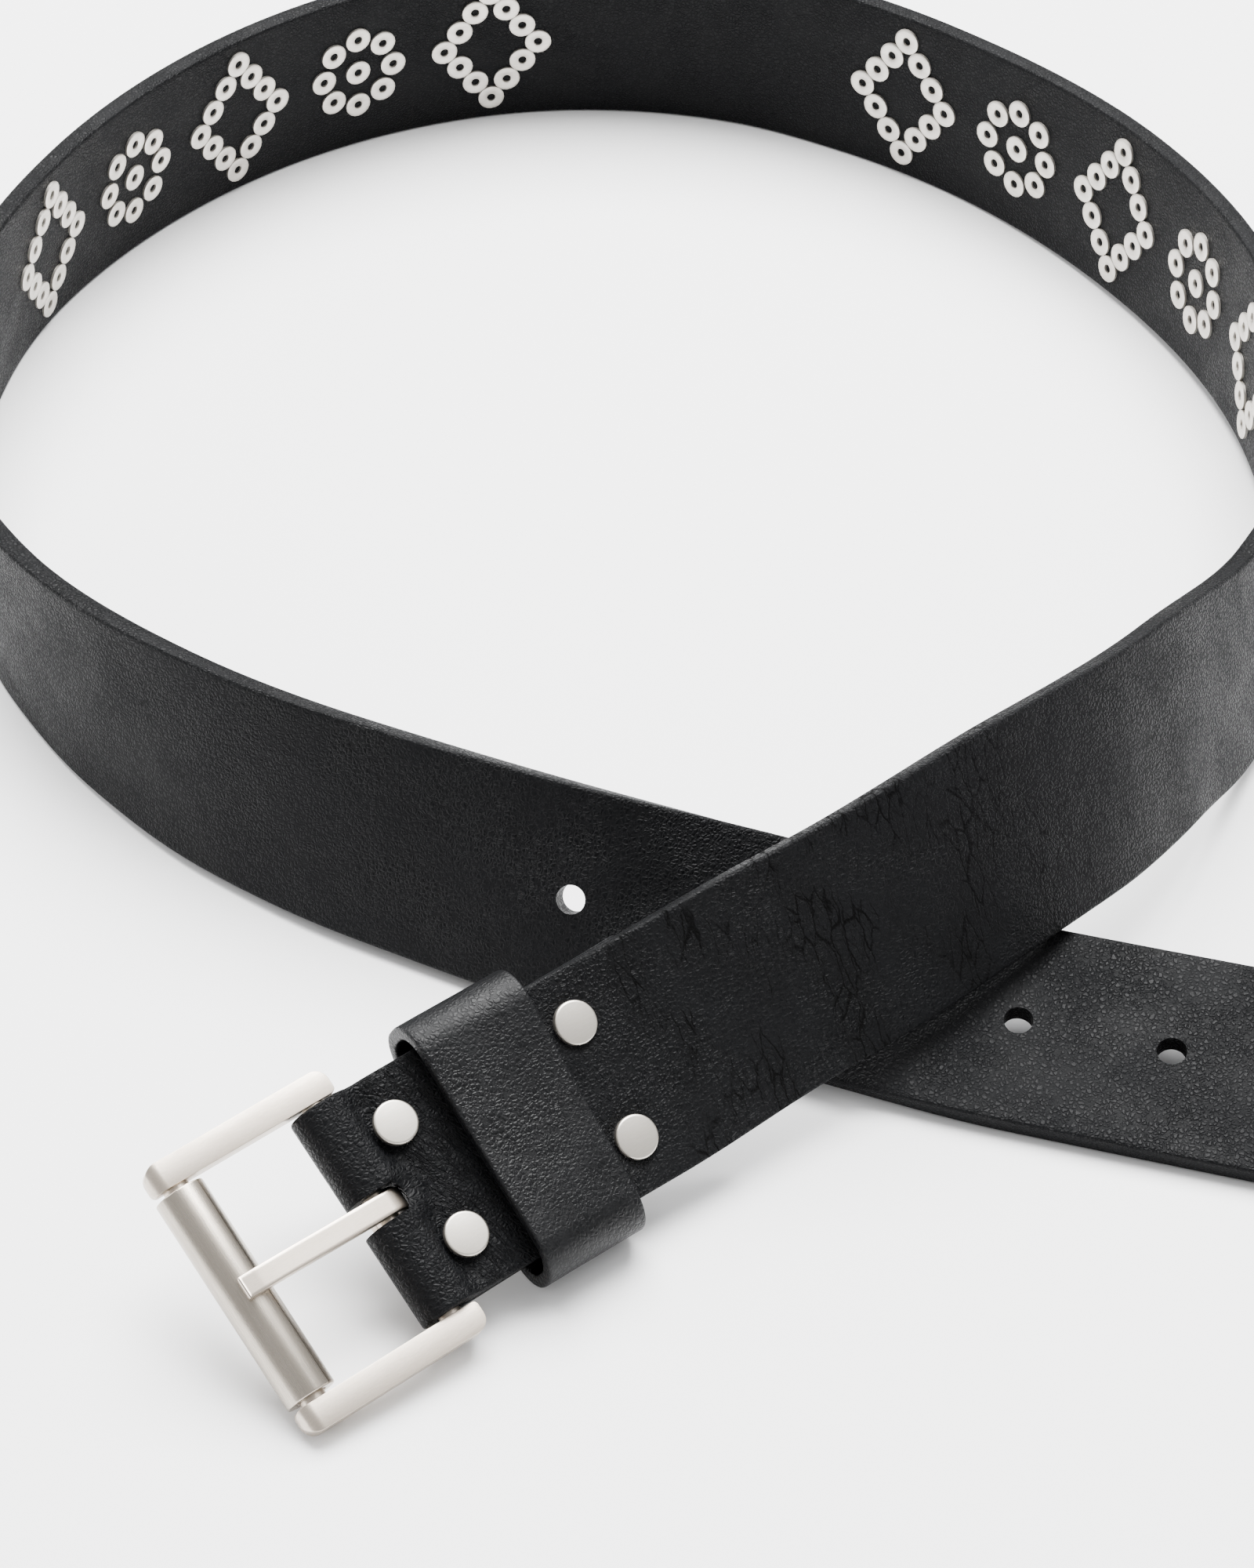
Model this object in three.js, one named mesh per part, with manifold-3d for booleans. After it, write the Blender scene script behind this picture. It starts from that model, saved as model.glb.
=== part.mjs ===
// A studded leather belt, unfastened and standing on its lower edge in an open loop.
// Its two ends cross in front: the buckle end lies over the tail, which turns down flat.
// Units are millimetres, +Z is up, and the origin is at the middle of the foot of the belt's box.
import * as THREE from 'three';
import { mergeVertices } from 'three/addons/utils/BufferGeometryUtils.js';
import Module from 'manifold-3d';

const wasm = await Module();
wasm.setup();

// Strap
const strapWidth = 38;
const strapThickness = 3.8;
const strapLength = 1078.5; // from the buckle's bar to the tip of the tail
const tipLength = 24;
const tipEndWidth = 12;
const stationStep = 14;
const finestDetail = 0.05; // flatter bends than this are left out of the strap's facets
const backShare = 0.4526; // the share of the strap that ends at the middle of the back

// Fold round the buckle's bar
const foldThickness = 2.4;
const foldClearance = 0.35;
const layerGap = 0.3;
const pinchLength = 5.4; // from the bar to where the two layers are pressed together
const returnLength = 57;
const slotReach = 6.8; // how far the prong's slot runs past the bar's axis
const slotClearance = 0.7;

// Holes in the tail
const tailHoleDiameter = 5;
const tailHolePitch = 25.7;
const tailHoleCount = 5;
const lastHoleToTip = 88;

// Rivets that close the fold
const rivetCapDiameter = 7.3;
const rivetCapThickness = 0.8;
const rivetBackThickness = 0.8;
const rivetShankDiameter = 3.2;
const rivetClearance = 0.3;
const rivetSpread = 20.5; // between the two rivets of a pair
const nearRivets = 8.4; // from the bar's axis
const farRivets = 41.9;

// Keeper
const keeperWidth = 19.5;
const keeperMiddle = 26; // from the bar's axis
const keeperThickness = 2.2;
const keeperPlay = 0.6; // more than the tail's thickness, under the keeper's front
const keeperSidePlay = 1.9;
const keeperBackGap = 0.3;
const keeperBackRadius = 3.6;
const keeperFrontRadius = 6.4;
const keeperCornerSteps = 4;

// Studs
const studDiameter = 5.7;
const studHeadHeight = 0.9;
const studRingHeight = 0.5;
const studSides = 10;
const motifPitch = 31;
const motifsPerGroup = 5;
const plainMiddle = 96; // between the two groups' nearest motif centres
const studdedMiddle = 0.430; // share of the strap at the middle of the plain stretch
const diamondHalfHeight = 13.6;
const diamondHalfLength = 10.6;
const diamondStudsPerSide = 3;
const rosetteRadius = 8.4;
const rosetteStuds = 8;

// Buckle
const barDiameter = 3.8;
const barDrop = 1.6; // of the bar's axis below the middle of the strap
const barToRoller = 25.4;
const armWidth = 4.6;
const armThickness = 3.4;
const armRise = 2.3; // of the arm's face above the bar's axis
const armSideClearance = 0.6;
const armBarEnd = 4.2; // of the arm past the bar's axis
const armRollerEnd = 4.6; // of the arm past the roller's axis
const armEndDrop = 2.0; // of the arm's end below its face, at the roller
const armEndRadius = 1.4;
const rollerDiameter = 8.4;
const rollerAxisDrop = 0.6; // of the roller's axis below the bar's axis
const rollerBarDiameter = 4.4;
const rollerClearance = 0.3;
const rollerEndPlay = 0.9;

// Prong
const prongWidth = 3.8;
const prongThickness = 1.9;
const prongBoreClearance = 0.3;
const prongSeatGap = 0.2; // between the prong and the roller
const prongPastRoller = 1.4;
const prongTipDrop = 0.3;
const prongBendToRoller = 1.6; // from the prong's bend to the roller's axis

// The strap's route, from the bar to the tip. along is a share of the strap's length, turn is its
// heading seen from above, lean tips its upper edge inwards, and ride is the height of its lowest
// corner over the floor in strap thicknesses.
const route = [
  { along: 0.000, turn: 37.5, lean: 61, ride: 1.5 },
  { along: 0.042, turn: 35.5, lean: 47.5, ride: 1.35 },
  { along: 0.079, turn: 31.5, lean: 35, ride: 2.3 },
  { along: 0.117, turn: 40, lean: 30.5, ride: 3.7 },
  { along: 0.154, turn: 54.5, lean: 20.5, ride: 2.55 },
  { along: 0.191, turn: 63.5, lean: 11.5, ride: 0.35 },
  { along: 0.229, turn: 83, lean: 1, ride: 0.3 },
  { along: 0.266, turn: 97, lean: -2, ride: 0.6 },
  { along: 0.322, turn: 119.5, lean: -4, ride: 0.2 },
  { along: 0.378, turn: 140, lean: 0, ride: 0 },
  { along: 0.401, turn: 149.5, lean: 0, ride: 0 },
  { along: 0.424, turn: 162.5, lean: 3, ride: 0 },
  { along: 0.452, turn: 179, lean: 4, ride: 0 },
  { along: 0.480, turn: 196.5, lean: 5, ride: 0 },
  { along: 0.526, turn: 220.5, lean: 6, ride: 0 },
  { along: 0.582, turn: 244.5, lean: 7, ride: 0 },
  { along: 0.637, turn: 269, lean: 0, ride: 0 },
  { along: 0.675, turn: 286, lean: -3, ride: 0 },
  { along: 0.712, turn: 304.5, lean: 1, ride: 0 },
  { along: 0.749, turn: 321, lean: 11.5, ride: 0.1 },
  { along: 0.786, turn: 334, lean: 22.5, ride: 0.1 },
  { along: 0.823, turn: 339.5, lean: 33, ride: 0 },
  { along: 0.860, turn: 347, lean: 53, ride: 0.1 },
  { along: 0.897, turn: 343.5, lean: 74.5, ride: 0 },
  { along: 0.934, turn: 344, lean: 74, ride: 0 },
  { along: 0.971, turn: 346.5, lean: 79, ride: 0 },
  { along: 1.000, turn: 346.5, lean: 81, ride: 0 },
];

// Colours and finishes
const leather = new THREE.MeshStandardMaterial({ color: 0x1a1b1e, roughness: 0.55, metalness: 0 });
const keeperLeather = new THREE.MeshStandardMaterial({ color: 0x24262a, roughness: 0.5, metalness: 0 });
const nickel = new THREE.MeshStandardMaterial({ color: 0xb9b3a8, roughness: 0.35, metalness: 1 });
const capMetal = new THREE.MeshStandardMaterial({ color: 0xc9c4bc, roughness: 0.3, metalness: 1 });

// A smooth curve through the rows that never overshoots them.
function readColumn(column, along) {
  const last = route.length - 1;
  const slopeAt = (row) => (route[row + 1][column] - route[row][column])
    / (route[row + 1].along - route[row].along);
  const tangentAt = (row) => {
    if (row === 0) return slopeAt(0);
    if (row === last) return slopeAt(last - 1);
    const before = slopeAt(row - 1);
    const after = slopeAt(row);
    return before * after > 0 ? 2 * before * after / (before + after) : 0;
  };
  let row = 0;
  while (row < last - 1 && along > route[row + 1].along) row += 1;
  const span = route[row + 1].along - route[row].along;
  const t = (along - route[row].along) / span;
  const ease = t * t * (3 - 2 * t);
  return route[row][column] * (1 - ease) + route[row + 1][column] * ease
    + t * (1 - t) * (1 - t) * span * tangentAt(row) - t * t * (1 - t) * span * tangentAt(row + 1);
}

// The height of the strap's middle line over the floor.
function heightAt(along) {
  const lean = THREE.MathUtils.degToRad(readColumn('lean', along));
  const lowest = readColumn('ride', along) * strapThickness;
  return lowest + strapThickness / 2 * Math.abs(Math.sin(lean)) + strapWidth / 2 * Math.cos(lean);
}

// The middle line in short steps, with the directions along it, across it and out of its face.
const routeSteps = 1080;
const routePoints = [];
{
  const step = strapLength / routeSteps;
  const position = new THREE.Vector2(0, 0);
  for (let i = 0; i <= routeSteps; i += 1) {
    const along = i / routeSteps;
    const before = Math.max(along - 1 / routeSteps, 0);
    const after = Math.min(along + 1 / routeSteps, 1);
    const climb = (heightAt(after) - heightAt(before)) / ((after - before) * strapLength);
    const level = Math.sqrt(1 - climb * climb);
    const turn = THREE.MathUtils.degToRad(readColumn('turn', along));
    const lean = THREE.MathUtils.degToRad(readColumn('lean', along));
    const forward = new THREE.Vector3(level * Math.cos(turn), level * Math.sin(turn), climb);
    if (i > 0) {
      const previous = routePoints[i - 1].forward;
      position.x += step * (previous.x + forward.x) / 2;
      position.y += step * (previous.y + forward.y) / 2;
    }
    const inward = new THREE.Vector3(-Math.sin(turn), Math.cos(turn), 0);
    const upright = new THREE.Vector3().crossVectors(forward, inward);
    const across = upright.clone().multiplyScalar(Math.cos(lean)).addScaledVector(inward, Math.sin(lean));
    const outward = new THREE.Vector3().crossVectors(forward, across);
    const middle = new THREE.Vector3(position.x, position.y, heightAt(along));
    routePoints.push({ middle, forward, across, outward });
  }
  const back = routePoints[Math.round(backShare * routeSteps)].middle.clone();
  for (const point of routePoints) {
    point.middle.x -= back.x;
    point.middle.y -= back.y;
  }
}

// The strap's frame at a length from the bar.
function frameAt(length) {
  const place = THREE.MathUtils.clamp(length / strapLength * routeSteps, 0, routeSteps - 1e-6);
  const first = routePoints[Math.floor(place)];
  const second = routePoints[Math.floor(place) + 1];
  const share = place - Math.floor(place);
  const mix = (name) => first[name].clone().lerp(second[name], share);
  const forward = mix('forward').normalize();
  const across = mix('across').addScaledVector(forward, -mix('across').dot(forward)).normalize();
  const outward = new THREE.Vector3().crossVectors(forward, across);
  return { middle: mix('middle'), forward, across, outward };
}

// A point of the strap: length from the bar, across from the middle line, out from the mid-thickness.
function strapPoint(length, across, out) {
  const frame = frameAt(length);
  return frame.middle.clone().addScaledVector(frame.across, across).addScaledVector(frame.outward, out);
}

// A solid from a closed geometry, and back.
function toSolid(geometry) {
  const bare = geometry.clone();
  bare.deleteAttribute('normal');
  bare.deleteAttribute('uv');
  const merged = mergeVertices(bare, 1e-5);
  return new wasm.Manifold(new wasm.Mesh({
    numProp: 3,
    vertProperties: new Float32Array(merged.attributes.position.array),
    triVerts: new Uint32Array(merged.index.array),
  }));
}

function toGeometry(solid) {
  const mesh = solid.getMesh();
  const geometry = new THREE.BufferGeometry();
  geometry.setAttribute('position', new THREE.BufferAttribute(new Float32Array(mesh.vertProperties), 3));
  geometry.setIndex(new THREE.BufferAttribute(new Uint32Array(mesh.triVerts), 1));
  geometry.computeVertexNormals();
  return geometry;
}

// A closed skin through loops of points, all of the same count, with flat ends.
function loft(loops) {
  const count = loops[0].length;
  const positions = loops.flat().flatMap((point) => [point.x, point.y, point.z]);
  const index = [];
  for (let i = 0; i < loops.length - 1; i += 1) {
    for (let j = 0; j < count; j += 1) {
      const next = (j + 1) % count;
      const a = i * count + j;
      const b = i * count + next;
      const c = (i + 1) * count + next;
      const d = (i + 1) * count + j;
      index.push(a, b, c, a, c, d);
    }
  }
  const top = (loops.length - 1) * count;
  for (let j = 1; j < count - 1; j += 1) {
    index.push(0, j + 1, j);
    index.push(top, top + j, top + j + 1);
  }
  const geometry = new THREE.BufferGeometry();
  geometry.setAttribute('position', new THREE.Float32BufferAttribute(positions, 3));
  geometry.setIndex(index);
  return geometry;
}

// A mesh with a name.
function makeMesh(name, geometry, material) {
  const mesh = new THREE.Mesh(geometry, material);
  mesh.name = name;
  return mesh;
}

// A cylinder that runs through the strap, square to its face, from one height to another.
function strapPeg(length, across, radius, low, high, sides) {
  const frame = frameAt(length);
  const geometry = new THREE.CylinderGeometry(radius, radius, high - low, sides);
  const basis = new THREE.Matrix4().makeBasis(
    frame.forward.clone().negate(),
    frame.outward,
    frame.across,
  );
  basis.setPosition(strapPoint(length, across, (low + high) / 2));
  geometry.applyMatrix4(basis);
  return toSolid(geometry);
}

// The fold: its inner radius round the bar, and how far the layers have closed at a length.
const barRadius = barDiameter / 2;
const foldInnerRadius = barRadius + foldClearance;
const foldMiddleRadius = foldInnerRadius + foldThickness / 2;
const layerBack = -strapThickness / 2 - layerGap - foldThickness;

function closing(length) {
  const t = THREE.MathUtils.clamp(length / pinchLength, 0, 1);
  return t * t * (3 - 2 * t);
}

// One cross-section of the strap, as its four corners.
function strapSection(centre, across, facing, width, thickness) {
  const corner = (side, face) => centre.clone()
    .addScaledVector(across, side * width / 2)
    .addScaledVector(facing, face * thickness / 2);
  return [corner(1, 1), corner(-1, 1), corner(-1, -1), corner(1, -1)];
}

function tipWidthAt(length) {
  const past = Math.max(length - (strapLength - tipLength), 0) / tipLength;
  return tipEndWidth + (strapWidth - tipEndWidth) * Math.sqrt(1 - past * past);
}

function makeStrapSkin() {
  const sections = [];
  const closingSteps = 4;
  const returnSteps = 5;
  const returnStops = [];
  for (let i = 0; i < returnSteps; i += 1) {
    returnStops.push(returnLength + (pinchLength - returnLength) * i / returnSteps);
  }
  const closingStops = [];
  for (let i = 0; i <= closingSteps; i += 1) closingStops.push(pinchLength * i / closingSteps);
  returnStops.push(...closingStops.slice().reverse());
  for (const length of returnStops) {
    const frame = frameAt(length);
    const flat = layerBack + foldThickness / 2;
    const open = -barDrop - foldMiddleRadius;
    const out = flat * closing(length) + open * (1 - closing(length));
    const centre = strapPoint(length, 0, out);
    sections.push(strapSection(centre, frame.across, frame.outward.clone().negate(), strapWidth, foldThickness));
  }
  const root = frameAt(0);
  const foldTurns = 8;
  for (let i = 1; i < foldTurns; i += 1) {
    const angle = Math.PI * (1 - i / foldTurns);
    const facing = root.outward.clone().multiplyScalar(Math.cos(angle))
      .addScaledVector(root.forward, -Math.sin(angle));
    const centre = strapPoint(0, 0, -barDrop).addScaledVector(facing, foldMiddleRadius);
    sections.push(strapSection(centre, root.across, facing, strapWidth, foldThickness));
  }
  const stops = closingStops.slice();
  const tipStart = strapLength - tipLength;
  const steps = Math.round((tipStart - pinchLength) / stationStep);
  for (let i = 1; i <= steps; i += 1) {
    stops.push(pinchLength + (tipStart - pinchLength) * i / steps);
  }
  for (const share of [0.35, 0.62, 0.82, 0.94, 1]) stops.push(tipStart + tipLength * share);
  for (const length of stops) {
    const frame = frameAt(length);
    const thickness = foldThickness + (strapThickness - foldThickness) * closing(length);
    const centre = strapPoint(length, 0, (foldMiddleRadius - barDrop) * (1 - closing(length)));
    sections.push(strapSection(centre, frame.across, frame.outward, tipWidthAt(length), thickness));
  }
  return toSolid(loft(sections));
}

// The prong's slot, cut through both layers and the fold between them.
const slotWidth = prongWidth + 2 * slotClearance;

function makeSlotCut() {
  const half = slotWidth / 2;
  const end = foldInnerRadius + foldThickness + 1;
  const outline = new THREE.Shape();
  outline.moveTo(end, -half);
  outline.lineTo(end, half);
  outline.lineTo(half - slotReach, half);
  outline.absarc(half - slotReach, 0, half, Math.PI / 2, Math.PI * 3 / 2, false);
  outline.closePath();
  const height = 4 * foldMiddleRadius;
  const geometry = new THREE.ExtrudeGeometry(outline, { depth: height, bevelEnabled: false, curveSegments: 6 });
  geometry.translate(0, 0, -height / 2);
  geometry.rotateX(-Math.PI / 2);
  geometry.applyMatrix4(buckleMatrix);
  return toSolid(geometry);
}

// The buckle's own frame: x towards the roller, y out of the belt's face, z across.
const rootFrame = frameAt(0);
const buckleMatrix = new THREE.Matrix4().makeBasis(
  rootFrame.forward.clone().negate(),
  rootFrame.outward,
  rootFrame.across,
);
buckleMatrix.setPosition(strapPoint(0, 0, -barDrop));

// Where the studs sit, as lengths from the bar and heights from the middle line.
function diamondMotif(centre) {
  const corners = [[0, 1], [1, 0], [0, -1], [-1, 0]];
  const studs = [];
  corners.forEach(([x, y], i) => {
    const [nextX, nextY] = corners[(i + 1) % corners.length];
    for (let k = 0; k < diamondStudsPerSide; k += 1) {
      const share = k / diamondStudsPerSide;
      studs.push({
        length: centre + diamondHalfLength * (x + (nextX - x) * share),
        across: diamondHalfHeight * (y + (nextY - y) * share),
      });
    }
  });
  return studs;
}

function rosetteMotif(centre) {
  const studs = [{ length: centre, across: 0 }];
  for (let k = 0; k < rosetteStuds; k += 1) {
    const angle = 2 * Math.PI * k / rosetteStuds;
    studs.push({
      length: centre + rosetteRadius * Math.sin(angle),
      across: rosetteRadius * Math.cos(angle),
    });
  }
  return studs;
}

function studPlaces() {
  const studs = [];
  for (const side of [-1, 1]) {
    for (let k = 0; k < motifsPerGroup; k += 1) {
      const centre = studdedMiddle * strapLength + side * (plainMiddle / 2 + k * motifPitch);
      studs.push(...(k % 2 === 0 ? diamondMotif(centre) : rosetteMotif(centre)));
    }
  }
  return studs;
}

function makeStrap() {
  let strap = makeStrapSkin().subtract(makeSlotCut());
  const through = 3 * strapThickness;
  for (let k = 0; k < tailHoleCount; k += 1) {
    const length = strapLength - lastHoleToTip - k * tailHolePitch;
    strap = strap.subtract(strapPeg(length, 0, tailHoleDiameter / 2, -through, through, 16));
  }
  for (const { length, across } of rivetPlaces) {
    const radius = rivetShankDiameter / 2 + rivetClearance;
    strap = strap.subtract(strapPeg(length, across, radius, -through, through, 10));
  }
  const inner = -strapThickness / 2 - studRingHeight;
  const outer = strapThickness / 2 + studHeadHeight;
  const studs = studPlaces().map(({ length, across }) => (
    strapPeg(length, across, studDiameter / 2, inner, outer, studSides)));
  return strap.add(wasm.Manifold.union(studs)).asOriginal().simplify(finestDetail);
}

// Rivets: a flat cap on the face, a shank through both layers and a washer behind.
const rivetPlaces = [];
for (const length of [nearRivets, farRivets]) {
  for (const side of [1, -1]) rivetPlaces.push({ length, across: side * rivetSpread / 2 });
}

function makeRivet(place) {
  const capRadius = rivetCapDiameter / 2;
  const shankRadius = rivetShankDiameter / 2;
  const capFoot = strapThickness / 2 + rivetClearance;
  const capTop = capFoot + rivetCapThickness;
  const backTop = layerBack - rivetClearance;
  const backFoot = backTop - rivetBackThickness;
  const roundOff = rivetCapThickness * 0.3;
  const profile = [
    new THREE.Vector2(0, backFoot),
    new THREE.Vector2(capRadius, backFoot),
    new THREE.Vector2(capRadius, backTop),
    new THREE.Vector2(shankRadius, backTop),
    new THREE.Vector2(shankRadius, capFoot),
    new THREE.Vector2(capRadius, capFoot),
    new THREE.Vector2(capRadius, capTop - roundOff),
    new THREE.Vector2(capRadius - roundOff, capTop),
    new THREE.Vector2(0, capTop),
  ];
  const geometry = new THREE.LatheGeometry(profile, 14);
  const frame = frameAt(place.length);
  const basis = new THREE.Matrix4().makeBasis(
    frame.forward.clone().negate(),
    frame.outward,
    frame.across,
  );
  basis.setPosition(strapPoint(place.length, place.across, 0));
  geometry.applyMatrix4(basis);
  return toGeometry(toSolid(geometry));
}

// A rounded oblong in the strap's cross-section, as pairs of across and out.
function roundedOblong(halfWidth, low, high, backRadius, frontRadius) {
  const outline = [];
  const corners = [
    [halfWidth - frontRadius, high - frontRadius, frontRadius, 0],
    [-halfWidth + frontRadius, high - frontRadius, frontRadius, 1],
    [-halfWidth + backRadius, low + backRadius, backRadius, 2],
    [halfWidth - backRadius, low + backRadius, backRadius, 3],
  ];
  for (const [across, out, radius, quarter] of corners) {
    for (let i = 0; i <= keeperCornerSteps; i += 1) {
      const angle = (quarter + i / keeperCornerSteps) * Math.PI / 2;
      outline.push([across + radius * Math.cos(angle), out + radius * Math.sin(angle)]);
    }
  }
  return outline;
}

function keeperLoft(outline, from, to, steps) {
  const loops = [];
  for (let i = 0; i <= steps; i += 1) {
    const length = from + (to - from) * i / steps;
    loops.push(outline.map(([across, out]) => strapPoint(length, across, out)));
  }
  return toSolid(loft(loops));
}

function makeKeeper() {
  const innerHalf = strapWidth / 2 + keeperSidePlay;
  const innerLow = layerBack - keeperBackGap;
  const innerHigh = strapThickness / 2 + strapThickness + keeperPlay;
  const outside = roundedOblong(
    innerHalf + keeperThickness,
    innerLow - keeperThickness,
    innerHigh + keeperThickness,
    keeperBackRadius,
    keeperFrontRadius,
  );
  const inside = roundedOblong(
    innerHalf,
    innerLow,
    innerHigh,
    keeperBackRadius - keeperThickness,
    keeperFrontRadius - keeperThickness,
  );
  const from = keeperMiddle - keeperWidth / 2;
  const to = keeperMiddle + keeperWidth / 2;
  const body = keeperLoft(outside, from, to, 3);
  return toGeometry(body.subtract(keeperLoft(inside, from - 1, to + 1, 5)));
}

// Buckle frame: two arms joined by the fold's bar and the roller's bar.
const armInner = strapWidth / 2 + armSideClearance;

function makeArm(side) {
  const face = armRise;
  const foot = face - armThickness;
  const rollerEnd = barToRoller + armRollerEnd;
  const profile = new THREE.Shape();
  profile.moveTo(-armBarEnd + armEndRadius, foot);
  profile.lineTo(barToRoller - 1, foot);
  profile.lineTo(rollerEnd - armEndRadius - 1, face - armEndDrop - armEndRadius);
  profile.lineTo(rollerEnd - armEndRadius, face - armEndDrop - armEndRadius);
  profile.quadraticCurveTo(rollerEnd, face - armEndDrop - armEndRadius, rollerEnd, face - armEndDrop);
  profile.quadraticCurveTo(rollerEnd, face, rollerEnd - 2 * armEndRadius, face);
  profile.lineTo(-armBarEnd + armEndRadius, face);
  profile.absarc(-armBarEnd + armEndRadius, face - armThickness / 2, armThickness / 2, Math.PI / 2, Math.PI * 3 / 2, false);
  const geometry = new THREE.ExtrudeGeometry(profile, { depth: armWidth, bevelEnabled: false, curveSegments: 6 });
  geometry.translate(0, 0, side > 0 ? armInner : -armInner - armWidth);
  return toSolid(geometry);
}

// A round bar across the buckle, at a place along it and out of it.
function crossBar(along, out, diameter, length, sides) {
  const geometry = new THREE.CylinderGeometry(diameter / 2, diameter / 2, length, sides);
  geometry.rotateX(Math.PI / 2);
  geometry.translate(along, out, 0);
  return geometry;
}

function makeFrame() {
  const span = 2 * armInner + armWidth;
  const foldBar = toSolid(crossBar(0, 0, barDiameter, span, 20));
  const rollerBar = toSolid(crossBar(barToRoller, -rollerAxisDrop, rollerBarDiameter, span, 20));
  return toGeometry(makeArm(1).add(makeArm(-1)).add(foldBar).add(rollerBar));
}

// Roller: a tube that turns on the roller's bar.
function makeRoller() {
  const half = armInner - rollerEndPlay;
  const outer = rollerDiameter / 2;
  const inner = rollerBarDiameter / 2 + rollerClearance;
  const profile = [
    new THREE.Vector2(inner, -half),
    new THREE.Vector2(outer, -half),
    new THREE.Vector2(outer, half),
    new THREE.Vector2(inner, half),
    new THREE.Vector2(inner, -half),
  ];
  const geometry = new THREE.LatheGeometry(profile, 28);
  geometry.rotateX(Math.PI / 2);
  return toGeometry(toSolid(geometry));
}

// Prong: a flat bar with an eye round the fold's bar, its tip lying over the roller.
function makeProng() {
  const eyeInner = barRadius + prongBoreClearance;
  const eyeOuter = eyeInner + prongThickness;
  const rollerTop = rollerDiameter / 2 - rollerAxisDrop + prongSeatGap;
  const tip = barToRoller + prongPastRoller;
  const bend = barToRoller - prongBendToRoller;
  const profile = new THREE.Shape();
  profile.absarc(0, 0, eyeOuter, Math.PI / 2, Math.PI * 2, false);
  profile.lineTo(eyeOuter, eyeInner * 0.6);
  profile.lineTo(eyeOuter + prongThickness, eyeInner + 0.3);
  profile.lineTo(bend, rollerTop);
  profile.lineTo(tip, rollerTop);
  profile.lineTo(tip, rollerTop + prongThickness - prongTipDrop);
  profile.lineTo(bend, rollerTop + prongThickness);
  profile.lineTo(0, eyeOuter);
  const eye = new THREE.Path();
  eye.absarc(0, 0, eyeInner, 0, Math.PI * 2, true);
  profile.holes.push(eye);
  const geometry = new THREE.ExtrudeGeometry(profile, { depth: prongWidth, bevelEnabled: false, curveSegments: 10 });
  geometry.translate(0, 0, -prongWidth / 2);
  return toGeometry(toSolid(geometry));
}

const buckle = new THREE.Group();
buckle.applyMatrix4(buckleMatrix);
buckle.add(makeMesh('buckle_frame', makeFrame(), nickel));
const roller = makeMesh('roller', makeRoller(), nickel);
roller.position.set(barToRoller, -rollerAxisDrop, 0);
buckle.add(roller);
buckle.add(makeMesh('prong', makeProng(), nickel));

const belt = new THREE.Group();
belt.add(makeMesh('strap', toGeometry(makeStrap()), leather));
belt.add(makeMesh('keeper', makeKeeper(), keeperLeather));
rivetPlaces.forEach((place, i) => {
  belt.add(makeMesh(`rivet_${i + 1}`, makeRivet(place), capMetal));
});
belt.add(buckle);

// The origin goes to the middle of the foot of the belt's box.
belt.updateMatrixWorld(true);
const box = new THREE.Box3().setFromObject(belt, true);
belt.position.set(-(box.min.x + box.max.x) / 2, -(box.min.y + box.max.y) / 2, -box.min.z);

export default belt;
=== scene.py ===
"""A black studded belt with a roller buckle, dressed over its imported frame."""

import logging
import math
from collections.abc import Callable, Iterable
from dataclasses import dataclass, field
from enum import Enum

import bpy
import numpy as np
from mathutils import Matrix, Vector


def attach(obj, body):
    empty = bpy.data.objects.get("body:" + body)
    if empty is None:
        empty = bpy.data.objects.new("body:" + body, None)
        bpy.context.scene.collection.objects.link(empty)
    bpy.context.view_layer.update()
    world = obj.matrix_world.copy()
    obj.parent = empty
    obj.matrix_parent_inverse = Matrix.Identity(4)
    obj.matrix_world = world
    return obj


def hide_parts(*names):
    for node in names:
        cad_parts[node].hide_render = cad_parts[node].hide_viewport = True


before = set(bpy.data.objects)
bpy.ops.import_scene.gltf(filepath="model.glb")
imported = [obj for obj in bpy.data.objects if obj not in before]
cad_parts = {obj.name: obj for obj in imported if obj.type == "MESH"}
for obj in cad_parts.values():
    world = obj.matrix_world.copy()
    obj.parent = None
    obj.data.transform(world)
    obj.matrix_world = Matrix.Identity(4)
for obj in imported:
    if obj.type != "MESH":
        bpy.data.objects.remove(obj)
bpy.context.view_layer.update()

log = logging.getLogger("studded_belt")

Piece = bpy.types.Object
Material = bpy.types.Material
Socket = bpy.types.NodeSocket
Corner = tuple[float, float, float]

MM = 0.001
FLAT = "flat"
AIM = Vector((0, 0, 0.02))


@dataclass(frozen=True)
class RouteRow:
    """One row of the strap's route: a share of its length, and how it stands there."""

    along: float
    turn: float
    lean: float
    ride: float


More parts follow.
